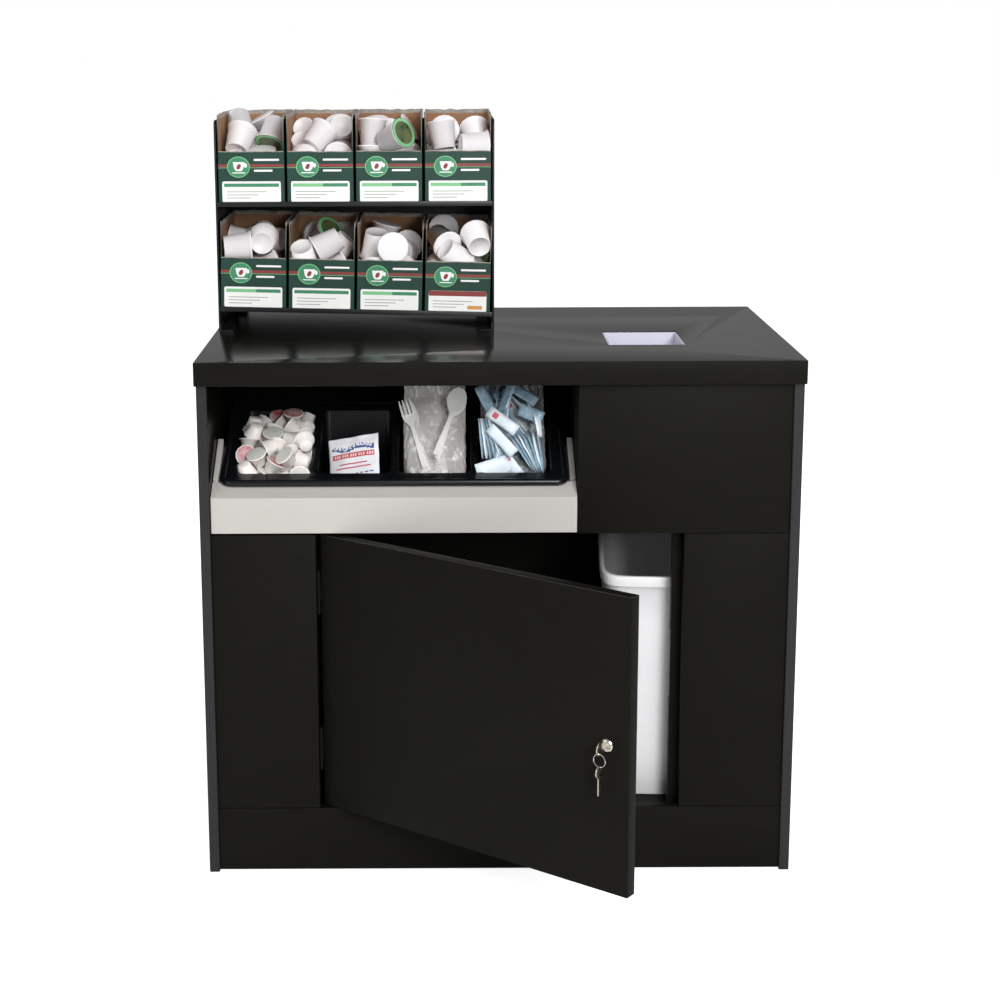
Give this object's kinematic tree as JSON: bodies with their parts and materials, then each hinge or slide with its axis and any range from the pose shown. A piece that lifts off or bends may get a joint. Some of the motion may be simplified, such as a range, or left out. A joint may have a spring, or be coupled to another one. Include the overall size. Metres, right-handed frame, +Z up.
{
  "type": "coffee station cabinet",
  "caption": "Black cafe coffee station: cabinet with lockable door, waste chute and basket, pull-out condiment bin, and a tiered countertop rack of open pod cartons.",
  "frame": {"origin": "on the floor, at the middle of the footprint with the door open as modelled", "axes": "+Z up, -Y is the front where the door and the condiment bin open, +X to the right seen from the front"},
  "size_m": [0.9144, 0.8702, 1.1648],
  "materials": {
    "black_laminate": "fine-grained matt black laminate",
    "edge_lipping": "satin dark lipping",
    "grey_laminate": "satin warm light grey",
    "tray_plastic": "high gloss black",
    "basket_plastic": "satin white",
    "chute_plastic": "satin off-white",
    "hinge_enamel": "satin black enamel",
    "zinc_steel": "zinc plated",
    "lock_chrome": "bright nickel",
    "key_brass": "nickelled brass",
    "rack_sheet": "satin black enamel",
    "carton_board": "printed paperboard, dark green outside"
  },
  "bodies": {
    "cabinet": {"countertop": "black_laminate", "side_panel_left": "black_laminate", "side_panel_right": "black_laminate", "edge_band_left": "edge_lipping", "edge_band_right": "edge_lipping", "bottom_panel": "black_laminate", "back_panel": "black_laminate", "toe_rail": "black_laminate", "lower_panel_left": "black_laminate", "lower_panel_right": "black_laminate", "false_front": "black_laminate", "bay_partition": "black_laminate", "bay_shelf": "black_laminate", "waste_chute": "chute_plastic", "hinge_batten": "black_laminate", "stop_batten": "black_laminate", "stop_strip_upper": "black_laminate", "stop_strip_lower": "black_laminate", "strike_plate": "hinge_enamel", "hinge_frame_leaves": "hinge_enamel", "hinge_pins": "hinge_enamel", "slide_outer_left": "zinc_steel", "slide_outer_right": "zinc_steel"},
    "door": {"door_panel": "black_laminate", "hinge_door_leaves": "hinge_enamel", "lock_housing": "lock_chrome", "lock_nut": "lock_chrome"},
    "lock": {"lock_plug": "lock_chrome", "lock_key": "key_brass", "lock_cam": "lock_chrome"},
    "ring": {"key_ring": "lock_chrome"},
    "second_key": {"spare_key": "key_brass"},
    "condiment_bin": {"bin_fascia": "grey_laminate", "bin_rail": "grey_laminate", "bin_cheek_left": "grey_laminate", "bin_cheek_right": "grey_laminate", "bin_bezel_strips": "grey_laminate", "bin_side_left": "black_laminate", "bin_side_right": "black_laminate", "bin_floor": "black_laminate", "bin_back": "black_laminate", "condiment_tray": "tray_plastic", "slide_inner_left": "zinc_steel", "slide_inner_right": "zinc_steel"},
    "basket": {"waste_basket": "basket_plastic"},
    "rack": {"rack_plate_left": "rack_sheet", "rack_plate_right": "rack_sheet", "rack_shelf_upper": "rack_sheet", "rack_shelf_lower": "rack_sheet", "rack_back": "rack_sheet", "rack_feet": "rack_sheet", "carton_upper_1": "carton_board", "carton_upper_2": "carton_board", "carton_upper_3": "carton_board", "carton_upper_4": "carton_board", "carton_lower_1": "carton_board", "carton_lower_2": "carton_board", "carton_lower_3": "carton_board", "carton_lower_4": "carton_board"}
  },
  "joints": [
    {"name": "door_hinge", "type": "hinge", "parent": "cabinet", "child": "door", "pos_m": [-0.27725, -0.1009, 0.325], "axis": [0, 0, -1], "range_deg": [-37, 73]},
    {"name": "lock_turn", "type": "hinge", "parent": "door", "child": "lock", "pos_m": [0.13907, -0.41124, 0.325], "axis": [-0.6018, -0.7986, 0], "range_deg": [0, 90]},
    {"name": "ring_swing", "type": "hinge", "parent": "lock", "child": "ring", "pos_m": [0.12721, -0.42697, 0.318], "axis": [0.7986, -0.6018, 0], "range_deg": [-30, 8]},
    {"name": "second_key_swing", "type": "hinge", "parent": "ring", "child": "second_key", "pos_m": [0.12721, -0.42697, 0.299], "axis": [0.7986, -0.6018, 0], "range_deg": [-30, 8]},
    {"name": "bin_slide", "type": "slide", "parent": "cabinet", "child": "condiment_bin", "axis": [0, -1, 0], "range_m": [0, 0.3]},
    {"name": "basket_slide", "type": "slide", "parent": "cabinet", "child": "basket", "axis": [-1, 0, 0], "range_m": [0, 0.15]},
    {"name": "rack_lift", "type": "slide", "parent": "cabinet", "child": "rack", "axis": [0, 0, 1], "range_m": [0, 0.1]}
  ]
}
